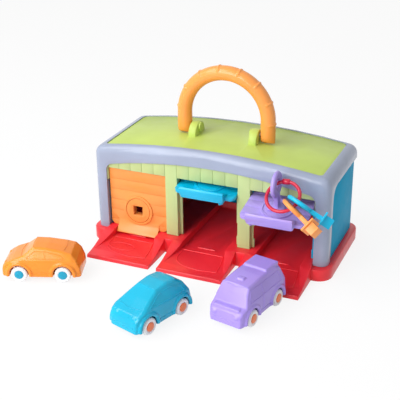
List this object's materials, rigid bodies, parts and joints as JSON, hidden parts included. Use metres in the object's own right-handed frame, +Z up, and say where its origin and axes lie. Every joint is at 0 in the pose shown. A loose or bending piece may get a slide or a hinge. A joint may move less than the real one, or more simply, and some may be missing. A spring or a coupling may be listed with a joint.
{
  "type": "toy parking garage",
  "caption": "Toy parking garage with ramps, an arched roof and carry handle, planked lift-up doors that lock with shaped keys, a key ring and toy cars.",
  "frame": {"origin": "middle of the garage's footprint, on the surface the tray stands on", "axes": "+Z up, doors and ramps face -Y, +X is the right-hand side seen from behind the viewer who faces the doors"},
  "size_m": [0.3755, 0.3264, 0.2234],
  "materials": {
    "tray": "moulded, satin",
    "walls": "moulded, satin",
    "front": "moulded, satin",
    "roof": "moulded, satin",
    "frame": "moulded, satin",
    "handle": "moulded, satin",
    "orange_door": "moulded, satin",
    "teal_door": "moulded, satin",
    "purple_door": "moulded, satin",
    "key_plastic": "moulded, satin",
    "steel": "plain",
    "ring": "moulded, satin",
    "wheels": "moulded, satin"
  },
  "bodies": {
    "garage": {"base_tray": "tray", "wall_shell": "walls", "front_panel": "front", "roof_panel": "roof", "edge_frame": "frame", "handle_pin_left": "steel", "handle_pin_right": "steel", "base_screw_1": "steel", "base_screw_2": "steel", "base_screw_3": "steel", "base_screw_4": "steel", "base_screw_5": "steel", "base_screw_6": "steel"},
    "handle": {"carry_handle": "handle"},
    "orange_pivots": {"orange_shoe_left": "steel", "orange_shoe_right": "steel"},
    "orange_door": {"orange_door": "orange_door"},
    "orange_lock": {"orange_lock_barrel": "orange_door", "orange_lock_bolt": "orange_door"},
    "teal_pivots": {"teal_shoe_left": "steel", "teal_shoe_right": "steel"},
    "teal_door": {"teal_door": "teal_door"},
    "teal_lock": {"teal_lock_barrel": "teal_door", "teal_lock_bolt": "teal_door"},
    "purple_pivots": {"purple_shoe_left": "steel", "purple_shoe_right": "steel"},
    "purple_door": {"purple_door": "purple_door"},
    "purple_lock": {"purple_lock_barrel": "purple_door", "purple_lock_bolt": "purple_door"},
    "purple_key": {"purple_key": "key_plastic"},
    "key_ring": {"key_ring": "ring"},
    "teal_key": {"teal_key": "teal_door"},
    "orange_key": {"orange_key": "orange_door"},
    "orange_car": {"orange_car_body": "orange_door", "orange_car_underbody": "orange_door"},
    "orange_car_front_wheels": {"orange_car_front_wheels": "wheels"},
    "orange_car_rear_wheels": {"orange_car_rear_wheels": "wheels"},
    "teal_car": {"teal_car_body": "teal_door", "teal_car_underbody": "teal_door"},
    "teal_car_front_wheels": {"teal_car_front_wheels": "wheels"},
    "teal_car_rear_wheels": {"teal_car_rear_wheels": "wheels"},
    "purple_car": {"purple_car_body": "purple_door", "purple_car_underbody": "purple_door"},
    "purple_car_front_wheels": {"purple_car_front_wheels": "wheels"},
    "purple_car_rear_wheels": {"purple_car_rear_wheels": "wheels"}
  },
  "joints": [
    {"name": "handle_swing", "type": "hinge", "parent": "garage", "child": "handle", "pos_m": [0, 0, 0.1425], "axis": [1, 0, 0], "range_deg": [-84, 84]},
    {"name": "orange_door_swing", "type": "hinge", "parent": "garage", "child": "orange_pivots", "pos_m": [-0.0933, -0.0563, 0.0875], "axis": [-1, 0, 0], "range_deg": [0, 80]},
    {"name": "orange_door_slide", "type": "slide", "parent": "orange_pivots", "child": "orange_door", "axis": [0, 0, 1], "range_m": [0, 0.0525]},
    {"name": "orange_lock_turn", "type": "hinge", "parent": "orange_door", "child": "orange_lock", "pos_m": [-0.0933, -0.0563, 0.0435], "axis": [0, -1, 0], "range_deg": [0, 50]},
    {"name": "teal_door_swing", "type": "hinge", "parent": "garage", "child": "teal_pivots", "pos_m": [0, -0.0563, 0.0875], "axis": [-1, 0, 0], "range_deg": [-80, 0]},
    {"name": "teal_door_slide", "type": "slide", "parent": "teal_pivots", "child": "teal_door", "axis": [0, 0.9848, 0.1736], "range_m": [-0.0525, 0]},
    {"name": "teal_lock_turn", "type": "hinge", "parent": "teal_door", "child": "teal_lock", "pos_m": [0, -0.04793, 0.08898], "axis": [0, -0.1736, 0.9848], "range_deg": [0, 50]},
    {"name": "purple_door_swing", "type": "hinge", "parent": "garage", "child": "purple_pivots", "pos_m": [0.0933, -0.0563, 0.0875], "axis": [-1, 0, 0], "range_deg": [-80, 0]},
    {"name": "purple_door_slide", "type": "slide", "parent": "purple_pivots", "child": "purple_door", "axis": [0, 0.9848, 0.1736], "range_m": [-0.024, 0]},
    {"name": "purple_lock_turn", "type": "hinge", "parent": "purple_door", "child": "purple_lock", "pos_m": [0.0933, -0.076, 0.08403], "axis": [0, -0.1736, 0.9848], "range_deg": [-50, 0]},
    {"name": "purple_key_pull", "type": "slide", "parent": "purple_lock", "child": "purple_key", "axis": [0, -0.1736, 0.9848], "range_m": [0, 0.03]},
    {"name": "key_ring_swing", "type": "hinge", "parent": "purple_key", "child": "key_ring", "pos_m": [0.09274, -0.08163, 0.11923], "axis": [-1, 0, 0], "range_deg": [0, 165]},
    {"name": "teal_key_swing", "type": "hinge", "parent": "key_ring", "child": "teal_key", "pos_m": [0.12339, -0.09814, 0.10907], "axis": [-0.2539, -0.7568, -0.6023], "range_deg": [0, 35]},
    {"name": "orange_key_swing", "type": "hinge", "parent": "key_ring", "child": "orange_key", "pos_m": [0.11918, -0.10419, 0.10407], "axis": [-0.6657, -0.5644, -0.4882], "range_deg": [0, 42]},
    {"name": "orange_car_roll", "type": "slide", "parent": "garage", "child": "orange_car", "axis": [-0.9385, -0.3453, 0], "range_m": [0, 0.06]},
    {"name": "orange_car_front_wheels_spin", "type": "hinge", "parent": "orange_car", "child": "orange_car_front_wheels", "pos_m": [-0.18463, -0.18191, 0.0098], "axis": [0.3453, -0.9385, 0], "continuous": true},
    {"name": "orange_car_rear_wheels_spin", "type": "hinge", "parent": "orange_car", "child": "orange_car_rear_wheels", "pos_m": [-0.13677, -0.16429, 0.0098], "axis": [0.3453, -0.9385, 0], "continuous": true},
    {"name": "teal_car_roll", "type": "slide", "parent": "garage", "child": "teal_car", "axis": [-0.304, -0.9527, 0], "range_m": [0, 0.06]},
    {"name": "teal_car_front_wheels_spin", "type": "hinge", "parent": "teal_car", "child": "teal_car_front_wheels", "pos_m": [-0.00855, -0.23759, 0.0098], "axis": [0.9527, -0.304, 0], "continuous": true},
    {"name": "teal_car_rear_wheels_spin", "type": "hinge", "parent": "teal_car", "child": "teal_car_rear_wheels", "pos_m": [0.00695, -0.18901, 0.0098], "axis": [0.9527, -0.304, 0], "continuous": true},
    {"name": "purple_car_roll", "type": "slide", "parent": "garage", "child": "purple_car", "axis": [-0.2079, -0.9781, 0], "range_m": [0, 0.06]},
    {"name": "purple_car_front_wheels_spin", "type": "hinge", "parent": "purple_car", "child": "purple_car_front_wheels", "pos_m": [0.0853, -0.18394, 0.0098], "axis": [0.9781, -0.2079, 0], "continuous": true},
    {"name": "purple_car_rear_wheels_spin", "type": "hinge", "parent": "purple_car", "child": "purple_car_rear_wheels", "pos_m": [0.0959, -0.13406, 0.0098], "axis": [0.9781, -0.2079, 0], "continuous": true}
  ],
  "couplings": [
    {"joint": "orange_door_slide", "follows": "orange_door_swing", "m_per_rad": 0.0376},
    {"joint": "teal_door_slide", "follows": "teal_door_swing", "m_per_rad": 0.0376},
    {"joint": "purple_door_slide", "follows": "purple_door_swing", "m_per_rad": 0.017188},
    {"joint": "key_ring_swing", "follows": "purple_door_swing", "ratio": -2.0625},
    {"joint": "teal_key_swing", "follows": "purple_door_swing", "ratio": -0.4375},
    {"joint": "orange_key_swing", "follows": "purple_door_swing", "ratio": -0.525},
    {"joint": "orange_car_front_wheels_spin", "follows": "orange_car_roll", "rad_per_m": 102.04},
    {"joint": "orange_car_rear_wheels_spin", "follows": "orange_car_roll", "rad_per_m": 102.04},
    {"joint": "teal_car_front_wheels_spin", "follows": "teal_car_roll", "rad_per_m": 102.04},
    {"joint": "teal_car_rear_wheels_spin", "follows": "teal_car_roll", "rad_per_m": 102.04},
    {"joint": "purple_car_front_wheels_spin", "follows": "purple_car_roll", "rad_per_m": 102.04},
    {"joint": "purple_car_rear_wheels_spin", "follows": "purple_car_roll", "rad_per_m": 102.04}
  ]
}
